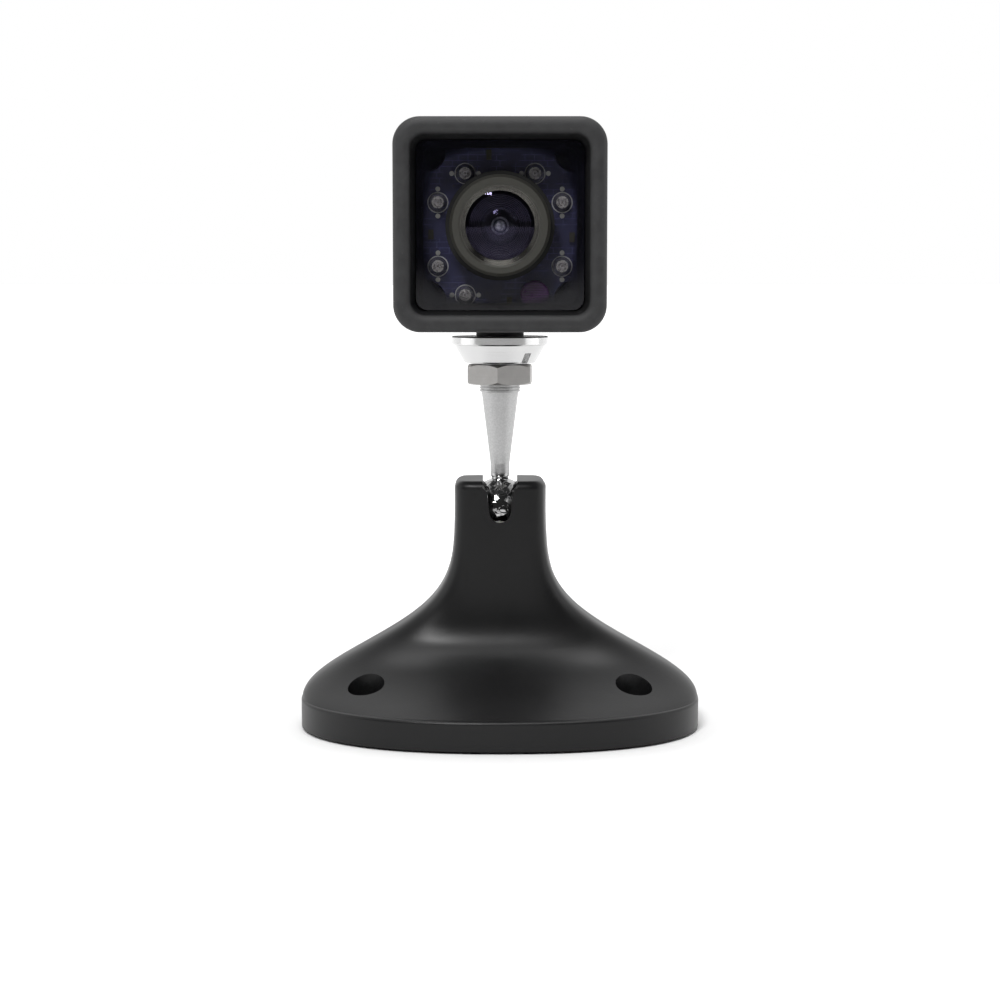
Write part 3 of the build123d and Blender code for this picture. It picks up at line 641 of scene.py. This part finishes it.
def tinned(name, colour=(0.62, 0.62, 0.60), roughness=0.34):
    """Tinned metal: soft, slightly lumpy and bright."""
    finish = Finish(name, colour, metallic=0.65, roughness=roughness)
    lumps = finish.noise(0.0007, 3)
    finish.vary_colour(lumps, 0.8, 1.15)
    finish.vary_roughness(lumps, roughness - 0.08, roughness + 0.1)
    finish.bump(lumps, 0.00003, 0.5)
    return finish


def violet_cell():
    """Tinted epoxy of the light sensor, with the fine comb of its track just under it."""
    finish = Finish("violet_photocell", (0.105, 0.036, 0.145), roughness=0.3,
                    coat_weight=0.4, coat_roughness=0.1)
    height = finish.axes()[2]
    comb = finish.nodes.new("ShaderNodeMath")
    comb.operation = "PINGPONG"
    comb.inputs[1].default_value = 0.00022
    finish.links.new(height, comb.inputs[0])
    tracks = finish.between(comb.outputs[0], 0.00007, 0.00013)
    finish.paint(finish.blend(tracks, finish.tint(0.8), finish.tint(1.35)))
    finish.vary_roughness(finish.noise(0.001), 0.24, 0.36)
    finish.bump(finish.noise(0.0012), 0.00003, 0.3)
    return finish


def moulded_part(name, colour, roughness=0.5):
    """Small moulded part: nearly even, with a fine skin."""
    finish = Finish(name, colour, roughness=roughness)
    cloud = finish.noise(0.0025, 3)
    finish.vary_colour(cloud, 0.85, 1.15)
    finish.vary_roughness(cloud, roughness - 0.07, roughness + 0.07)
    finish.bump(finish.noise(0.0004), 0.00001, 0.4)
    return finish


def cell_foil():
    """Crinkled foil pouch of the battery."""
    finish = Finish("cell_foil", (0.58, 0.60, 0.64), metallic=0.9, roughness=0.3)
    crinkle = finish.noise(0.0022, 5, distortion=1.2)
    finish.vary_colour(crinkle, 0.85, 1.1)
    finish.vary_roughness(crinkle, 0.24, 0.4)
    finish.bump(crinkle, 0.00012, 0.5)
    return finish


def light_guide():
    """Clear plastic of the indicator."""
    finish = Finish("light_guide", (0.70, 0.80, 0.74), roughness=0.12, transmission_weight=0.6, ior=1.49)
    finish.vary_roughness(finish.noise(0.0006), 0.08, 0.2)
    finish.bump(finish.noise(0.0006), 0.00001, 0.3)
    return finish


def film(name):
    """Brown polyimide film with a copper pattern under it."""
    finish = Finish(name, (0.22, 0.11, 0.03), roughness=0.32, coat_weight=0.3)
    finish.vary_colour(finish.between(finish.noise(0.002, 1), 0.47, 0.53), 0.8, 1.5)
    finish.vary_roughness(finish.noise(0.003), 0.26, 0.38)
    finish.bump(finish.noise(0.002), 0.00003, 0.3)
    return finish


# ------------------------------------------------------------ finishes of the lens

def anodised_ring(settings):
    """Dark anodised ring with fine turned lines round the lens, and a smoother, more metallic cut bevel
    coloured lighter all round as a painted highlight.
    """
    finish = Finish("anodised_lens_ring", settings.ring, metallic=0.45, roughness=0.38)
    radius = finish.radius_about(LENS_AXIS, 1)
    lines = finish.rings(radius, 0.00009, 0.2)
    bevel_start = half_width("front_lens") + 0.0007
    bevel_end = bevel_start + 0.0003
    bevel = finish.between(radius, bevel_start, bevel_end, 1, 0)
    shade = finish.blend(lines, finish.tint(0.86), finish.tint(1.14))
    # painted highlight: the bevel is coloured lighter all round, standing for the bright crescent of light
    # on its lower side
    finish.paint(finish.blend(bevel, shade, (0.17, 0.165, 0.15)))
    smooth = finish.between(bevel, 0, 1, 1, 0.65)
    rough = finish.math("MULTIPLY", finish.between(lines, 0, 1, 0.30, 0.42), smooth)
    finish.links.new(rough, finish.shader.inputs["Roughness"])
    finish.links.new(finish.between(bevel, 0, 1, 0.45, 1.0), finish.shader.inputs["Metallic"])
    finish.bump(lines, 0.000006, 0.5)
    return finish


def barrel_black():
    """Matt black paint inside the lens."""
    finish = Finish("barrel_black", (0.006, 0.006, 0.0065), roughness=0.45)
    finish.vary_colour(finish.noise(0.002), 0.8, 1.3)
    finish.vary_roughness(finish.noise(0.0015), 0.38, 0.52)
    finish.bump(finish.noise(0.00025), 0.000008, 0.4)
    return finish


def coated_glass(name, sheen, tint, strength=0.5, clear=1.0):
    """Optical glass whose coating cuts the reflection and leaves it the sheen's colour."""
    finish = Finish(name, tint, roughness=0.0, transmission_weight=clear, ior=1.38)
    finish.set(finish.shader, "Specular Tint", (*sheen, 1))
    finish.set(finish.shader, "Specular IOR Level", strength)
    dust = finish.between(finish.noise(0.0004, 3), 0.66, 0.74)
    finish.links.new(finish.math("MULTIPLY", dust, 0.05), finish.shader.inputs["Roughness"])
    return finish


def small_element():
    """Small element behind the stop: the light that it gathers is painted in its middle and at its edge."""
    finish = coated_glass("middle_lens_glass", (0.7, 0.72, 1.0), (0.40, 0.40, 0.46), 1.0, 0.0)
    radius = finish.radius_about(LENS_AXIS, 1)
    middle_radius = 0.0011
    edge_radius = 0.0012
    middle = finish.between(radius, middle_radius - 0.0005, middle_radius, 1, 0)
    edge = finish.between(radius, edge_radius, edge_radius + 0.0002, 0, 0.5)
    mottle = finish.between(finish.noise(0.0006, 3), 0.40, 0.60, 0.35, 1)
    pool = finish.math("MULTIPLY", finish.math("MAXIMUM", middle, edge), mottle)
    finish.paint(finish.blend(pool, finish.tint(0.10), (1.0, 1.0, 1.0)))
    return finish


# ------------------------------------------------------------ mesh helpers

def turned_mesh(outline, place, steps=96):
    """Closed solid spun from (radius, y) points about the line through place along Y."""
    centre = Vector((place.x, 0, place.z))
    across = Vector((1, 0, 0))
    same_point = 1e-7
    bm = bmesh.new()
    points = [centre + across * radius + BACKWARD * distance for radius, distance in outline]
    verts = [bm.verts.new(point) for point in points]
    edges = [bm.edges.new(pair) for pair in zip(verts, verts[1:])]
    bmesh.ops.spin(
        bm, geom=verts + edges, cent=centre, axis=BACKWARD, angle=2 * math.pi, steps=steps, use_merge=True,
    )
    bmesh.ops.remove_doubles(bm, verts=bm.verts, dist=same_point)
    bmesh.ops.recalc_face_normals(bm, faces=bm.faces)
    return bm


def add_to(bm, other, finish_index=0):
    """Add one bmesh, all in one of the finishes, to another, and free it."""
    for face in other.faces:
        face.material_index = finish_index
    mesh = bpy.data.meshes.new("part")
    other.to_mesh(mesh)
    other.free()
    bm.from_mesh(mesh)
    bpy.data.meshes.remove(mesh)


def finish_mesh(bm, name, body, slot, *finishes, sharp=35):
    """Make the object, mark its sharp edges, and let it ride on its body."""
    for face in bm.faces:
        face.smooth = True
    for edge in bm.edges:
        edge.smooth = not (edge.is_manifold and edge.calc_face_angle(0) > math.radians(sharp))
    mesh = bpy.data.meshes.new(name)
    bm.to_mesh(mesh)
    bm.free()
    piece = bpy.data.objects.new(name, mesh)
    bpy.context.scene.collection.objects.link(piece)
    for finish in finishes:
        mesh.materials.append(finish.material)
    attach(piece, body)
    return piece


# ------------------------------------------------------------ operators

class CAMERA_OT_finish_base(bpy.types.Operator):
    """Give the base, its plate, its pad and the ball clamp inside it their finishes"""

    bl_idname = "backup_camera.finish_base"
    bl_label = "Finish the base"

    def execute(self, context):
        settings = context.scene.camera_base
        paint("base_shell", satin_plastic(settings))
        zinc = plated_steel("zinc_plate", (0.62, 0.63, 0.65), 0.34)
        paint_all(("base_plate", "tension_plug"), zinc)
        spring = plated_steel("ground_spring_steel", (0.46, 0.46, 0.48), 0.28, 0.006)
        paint_all(("pressure_seat", "disc_springs"), spring)
        paint("plate_screws", black_oxide())
        paint("foot_pad", pad_foam("foot_pad_foam", (0.022, 0.022, 0.022)))
        paint("ball_cup", natural_nylon())
        return {"FINISHED"}


class CAMERA_OT_finish_stem(bpy.types.Operator):
    """Give the ball stem, the jam nut and the lock flange their finishes"""

    bl_idname = "backup_camera.finish_stem"
    bl_label = "Finish the stem"

    def execute(self, context):
        settings = context.scene.camera_stem
        paint("ball_stem", turned_stem(settings))
        paint("jam_nut", nickel_nut(settings))
        paint("lock_flange", bright_flange())
        paint("stud_insert", machined_brass())
        return {"FINISHED"}


class CAMERA_OT_finish_head(bpy.types.Operator):
    """Give the housing, its seals, its window and what is on its back their finishes"""

    bl_idname = "backup_camera.finish_head"
    bl_label = "Finish the head"

    def execute(self, context):
        settings = context.scene.camera_head
        paint_all(("front_housing", "rear_cover"), soft_touch(settings))
        paint_all(("housing_gasket", "jack_cap"), rubber("seal_rubber", (0.014, 0.014, 0.014)))
        paint_all(("window_gasket", "lens_seal"), rubber("inner_seal_rubber", (0.003, 0.003, 0.003), 0.8))
        paint("power_button", rubber("button_rubber", (0.07, 0.07, 0.073), 0.55))
        paint("cover_screws", black_oxide())
        paint("window", smoked_window(settings))
        paint("indicator_light", light_guide())
        return {"FINISHED"}


class CAMERA_OT_finish_inside(bpy.types.Operator):
    """Give the boards, the battery and the small parts inside the head their finishes"""

    bl_idname = "backup_camera.finish_inside"
    bl_label = "Finish the inside"

    def execute(self, context):
        settings = context.scene.camera_head
        paint("led_board", circuit_board("lamp_board_mask", settings.board))
        green = circuit_board("board_mask", (0.022, 0.085, 0.045))
        paint_all(("sensor_board", "main_board", "power_board"), green)
        paint_all(("radio_shield", "led_pads"), tinned("tinned_metal"))
        paint("light_sensor", violet_cell())
        black = moulded_part("black_moulding", (0.012, 0.012, 0.013))
        paint_all(("board_header", "charging_jack", "button_switch", "lens_holder"), black)
        paint("image_sensor", moulded_part("sensor_chip", (0.02, 0.02, 0.026), 0.2))
        paint("board_spacers", natural_nylon())
        paint_all(("chip_resistors", "indicator_led"), moulded_part("chip_ceramic", (0.06, 0.055, 0.045)))
        paint("battery", cell_foil())
        paint("battery_pad", pad_foam("battery_foam", (0.05, 0.05, 0.055)))
        paint("antenna", film("antenna_film"))
        return {"FINISHED"}


class CAMERA_OT_make_lens(bpy.types.Operator):
    """Make the ribbed barrel round the lens, and give the ring and the glass their finishes"""

    bl_idname = "backup_camera.make_lens"
    bl_label = "Make the lens"

    def execute(self, context):
        settings = context.scene.camera_lens
        paint("lens_ring", anodised_ring(settings))
        paint("front_lens", coated_glass("front_lens_glass", (0.62, 0.56, 0.95), (0.50, 0.50, 0.57), 0.25))
        paint("middle_lens", small_element())
        paint("rear_lens", coated_glass("rear_lens_glass", (0.7, 1.0, 0.8), (0.95, 0.95, 0.95)))
        self.make_barrel(settings)
        return {"FINISHED"}

    def make_barrel(self, settings):
        """Barrel with a rib at each step of its light trap, a thin stop, and a bore behind it."""
        low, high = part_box("lens_barrel")
        radius = half_width("lens_barrel")
        bore = half_width("middle_lens") + settings.bore_gap
        mouth = radius - settings.mouth_wall
        stop_front = low.y + settings.trap_depth
        stop_back = stop_front + settings.stop_thickness
        outline = [(radius, low.y), (mouth, low.y)]
        outline += self.light_trap(settings, mouth, bore, low.y)
        outline += [
            (bore, stop_front),
            (settings.stop_radius, stop_front),
            (settings.stop_radius, stop_back),
            (bore, stop_back),
            (bore, high.y),
            (radius, high.y),
            (radius, low.y),
        ]
        bm = turned_mesh(outline, LENS_AXIS)
        piece = finish_mesh(bm, "ribbed_barrel", "head", "barrel_black", barrel_black(), sharp=30)
        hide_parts("lens_barrel")

    def light_trap(self, settings, mouth, bore, front):
        """Outline of the ribs that step down from the mouth to the bore."""
        share_of_step = 0.55
        count = round((mouth - bore) / settings.rib_pitch)
        outline = []
        for rib in range(count):
            here = rib / count
            after = (rib + share_of_step) / count
            level = front + settings.trap_depth * after
            outline.append((mouth + (bore - mouth) * here, level))
            outline.append((mouth + (bore - mouth) * after, level))
        return outline


class CAMERA_OT_make_lamps(bpy.types.Operator):
    """Make the clear lamps with their reflector cups and chips"""

    bl_idname = "backup_camera.make_lamps"
    bl_label = "Make the lamps"

    def execute(self, context):
        settings = context.scene.camera_lamps
        lamp_reach = settings.radius * 2.8
        centres = island_centres("infrared_leds", lamp_reach)
        if len(centres) < 2:
            raise RuntimeError("the separate lamps were not found in the frame")
        low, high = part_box("infrared_leds")
        self.make_bodies(settings, centres, low.y, high.y)
        self.make_cups(settings, centres, high.y)
        return {"FINISHED"}

    def make_bodies(self, settings, centres, front, back):
        """Clear bodies with a round foot on the board and a domed tip."""
        radius = settings.radius
        foot = radius + settings.foot_lip
        foot_front = back - settings.foot_height
        chamfer = 0.0001
        outline = [
            (0, back),
            (foot, back),
            (foot, foot_front + chamfer),
            (radius + settings.foot_lip / 2, foot_front),
            (radius, foot_front),
        ]
        dome_steps = 10
        for step in range(dome_steps):
            turn = math.pi / 2 * step / dome_steps
            outline.append((radius * math.cos(turn), front + radius * (1 - math.sin(turn))))
        outline.append((0, front))
        bm = bmesh.new()
        for centre in centres:
            add_to(bm, turned_mesh(outline, centre, steps=32))
        piece = finish_mesh(bm, "clear_lamps", "head", "led_epoxy", clear_epoxy(), sharp=40)
        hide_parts("infrared_leds")

    def make_cups(self, settings, centres, board):
        """Bright reflector cups with a square chip in each, and the printed circle round each lamp."""
        cup_floor = board - settings.foot_height
        cup_finish, chip_finish, print_finish = range(3)
        bm = bmesh.new()
        for centre in centres:
            add_to(bm, self.cup(settings, centre, cup_floor), cup_finish)
            add_to(bm, self.printed_circle(settings, centre, board), print_finish)
            add_to(bm, self.chip(settings, centre, cup_floor), chip_finish)
        finish_mesh(
            bm, "lamp_cups", "head", "solder_tin",
            tinned("reflector_cup", (0.80, 0.78, 0.76), 0.28),
            moulded_part("lamp_chip", (0.16, 0.13, 0.12), 0.25),
            moulded_part("board_print", (0.70, 0.70, 0.72), 0.6),
        )

    def cup(self, settings, centre, floor):
        """Reflector cup, open to the front."""
        floor_radius = settings.cup_radius * 0.45
        mouth_radius = settings.cup_radius * 0.93
        outside = settings.cup_radius * 1.18
        mouth = floor - settings.cup_depth
        back = floor + settings.cup_floor
        outline = [
            (0, floor), (floor_radius, floor), (mouth_radius, mouth), (outside, mouth),
            (outside, back), (0, back),
        ]
        return turned_mesh(outline, centre, steps=24)

    def printed_circle(self, settings, centre, board):
        """Thin circle printed on the board round the lamp."""
        inner = settings.radius + settings.print_gap
        outer = inner + settings.print_width
        ink = 0.00003
        top = board - ink
        outline = [(inner, board), (inner, top), (outer, top), (outer, board), (inner, board)]
        return turned_mesh(outline, centre, steps=32)

    def chip(self, settings, centre, floor):
        """Square chip, half as high as it is wide, in the middle of the cup."""
        size = settings.cup_radius * 0.42
        edge = size * 0.1
        bm = bmesh.new()
        shape = Matrix.Translation((centre.x, floor - size / 4, centre.z))
        shape = shape @ Matrix.Diagonal((size, size / 2, size, 1))
        bmesh.ops.create_cube(bm, size=1, matrix=shape)
        bmesh.ops.bevel(
            bm, geom=bm.edges[:], offset=edge, affect="EDGES", segments=2, profile=0.5, material=-1,
        )
        return bm


class CAMERA_OT_make_stage(bpy.types.Operator):
    """Make the floor, the soft lights and the camera"""

    bl_idname = "backup_camera.make_stage"
    bl_label = "Make the stage"

    def execute(self, context):
        settings = context.scene.camera_stage
        self.make_floor(settings)
        self.make_studio(context)
        self.make_lights()
        self.make_camera(context, settings)
        return {"FINISHED"}

    def make_floor(self, settings):
        """Large pale floor under the foot pad."""
        level = Matrix.Translation((0, 0, min(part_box("foot_pad")[0].z, BASE_LOW.z)))
        bm = bmesh.new()
        bmesh.ops.create_grid(bm, x_segments=1, y_segments=1, size=settings.floor_reach, matrix=level)
        mesh = bpy.data.meshes.new("pale_floor")
        bm.to_mesh(mesh)
        bm.free()
        mesh.materials.append(self.floor_finish(settings).material)
        floor = bpy.data.objects.new("pale_floor", mesh)
        bpy.context.scene.collection.objects.link(floor)

    def floor_finish(self, settings):
        """Pale matt floor that glows behind the object and far from it, and is dimmer in front of it."""
        finish = Finish("pale_floor", settings.floor, roughness=0.7)
        finish.set(finish.shader, "Emission Color", (1, 1, 1, 1))
        depth = finish.axes()[1]
        distance = finish.radius_about((0, 0, 0), 2)
        far_glow = settings.floor_glow * 0.75
        behind = finish.between(depth, 0.03, 0.60, 0.0, settings.floor_glow)
        far_off = finish.between(distance, 0.5, 1.0, 0.0, far_glow)
        glow = finish.math("MAXIMUM", behind, far_off)
        finish.links.new(glow, finish.shader.inputs["Emission Strength"])
        near = finish.between(depth, -0.28, -0.10)
        finish.paint(finish.blend(near, finish.tint(settings.floor_front), finish.tint(1)))
        return finish

    def make_studio(self, context):
        """Pale surroundings that light the object less from the front than from behind."""
        world = bpy.data.worlds.new("studio")
        world.use_nodes = True
        nodes = world.node_tree.nodes
        links = world.node_tree.links
        direction = nodes.new("ShaderNodeTexCoord").outputs["Generated"]
        parts = nodes.new("ShaderNodeSeparateXYZ")
        links.new(direction, parts.inputs[0])
        grade = nodes.new("ShaderNodeMapRange")
        for socket, value in (("From Min", -0.4), ("From Max", 0.8), ("To Min", 0.03), ("To Max", 1.0)):
            grade.inputs[socket].default_value = value
        links.new(parts.outputs["Y"], grade.inputs["Value"])
        seen = nodes.new("ShaderNodeLightPath").outputs["Is Camera Ray"]
        strength = nodes.new("ShaderNodeMath")
        strength.operation = "MAXIMUM"
        links.new(grade.outputs["Result"], strength.inputs[0])
        links.new(seen, strength.inputs[1])
        links.new(strength.outputs[0], nodes["Background"].inputs["Strength"])
        nodes["Background"].inputs["Color"].default_value = (1, 1, 1, 1)
        context.scene.world = world
        context.scene.view_settings.view_transform = "Standard"

    def make_lights(self):
        """Two side boxes, one overhead box and a small front box."""
        middle = Vector((0, BALL_CENTRE.y, 0.05))
        # name, place, width and power
        boxes = [
            ("left_box", (-0.60, -0.05, 0.25), 0.50, 0.8),
            ("right_box", (0.60, -0.05, 0.25), 0.50, 0.8),
            ("top_box", (0.0, -0.05, 0.75), 0.45, 3.2),
            ("front_box", (-0.20, -0.62, 0.66), 0.18, 4.0),
        ]
        for name, place, size, power in boxes:
            light = bpy.data.lights.new(name, "AREA")
            light.size = size
            light.energy = power
            holder = bpy.data.objects.new(name, light)
            bpy.context.scene.collection.objects.link(holder)
            aim = middle - Vector(place)
            holder.rotation_euler = aim.to_track_quat("-Z", "Y").to_euler()
            holder.location = place

    def make_camera(self, context, settings):
        """Camera a little above the middle of the object, looking slightly down at it."""
        target = Vector((0, BALL_CENTRE.y, settings.aim_height))
        place = Vector((0, BALL_CENTRE.y - settings.distance, settings.camera_height))
        camera = bpy.data.cameras.new("main_camera")
        camera.lens = settings.lens
        camera.sensor_width = 36.0
        holder = bpy.data.objects.new("main_camera", camera)
        context.scene.collection.objects.link(holder)
        holder.rotation_euler = (target - place).to_track_quat("-Z", "Y").to_euler()
        holder.location = place
        context.scene.camera = holder


class CAMERA_PT_pieces(bpy.types.Panel):
    """Lists the pieces and finishes of the backup camera"""

    bl_idname = "CAMERA_PT_pieces"
    bl_label = "Backup camera"
    bl_space_type = "VIEW_3D"
    bl_region_type = "UI"
    bl_category = "Backup camera"

    def draw(self, context):
        for operator in OPERATORS:
            self.layout.operator(operator.bl_idname)
        for name, group in SETTINGS.items():
            settings = getattr(context.scene, name)
            for prop in group.__annotations__:
                self.layout.prop(settings, prop)


SETTINGS = {
    "camera_base": BaseSettings,
    "camera_stem": StemSettings,
    "camera_head": HeadSettings,
    "camera_lens": LensSettings,
    "camera_lamps": LampSettings,
    "camera_stage": StageSettings,
}
OPERATORS = (
    CAMERA_OT_finish_base,
    CAMERA_OT_finish_stem,
    CAMERA_OT_finish_head,
    CAMERA_OT_finish_inside,
    CAMERA_OT_make_lens,
    CAMERA_OT_make_lamps,
    CAMERA_OT_make_stage,
)


def register():
    """Add the settings, the operators and the panel to Blender."""
    for name, group in SETTINGS.items():
        bpy.utils.register_class(group)
        setattr(bpy.types.Scene, name, bpy.props.PointerProperty(type=group))
    for operator in OPERATORS:
        bpy.utils.register_class(operator)
    bpy.utils.register_class(CAMERA_PT_pieces)


def unregister():
    """Take them away again."""
    bpy.utils.unregister_class(CAMERA_PT_pieces)
    for operator in reversed(OPERATORS):
        bpy.utils.unregister_class(operator)
    for name, group in reversed(list(SETTINGS.items())):
        delattr(bpy.types.Scene, name)
        bpy.utils.unregister_class(group)


def main():
    """Run every operator in order."""
    register()
    bpy.ops.backup_camera.finish_base()
    bpy.ops.backup_camera.finish_stem()
    bpy.ops.backup_camera.finish_head()
    bpy.ops.backup_camera.finish_inside()
    bpy.ops.backup_camera.make_lens()
    bpy.ops.backup_camera.make_lamps()
    bpy.ops.backup_camera.make_stage()


if __name__ == "__main__":
    main()
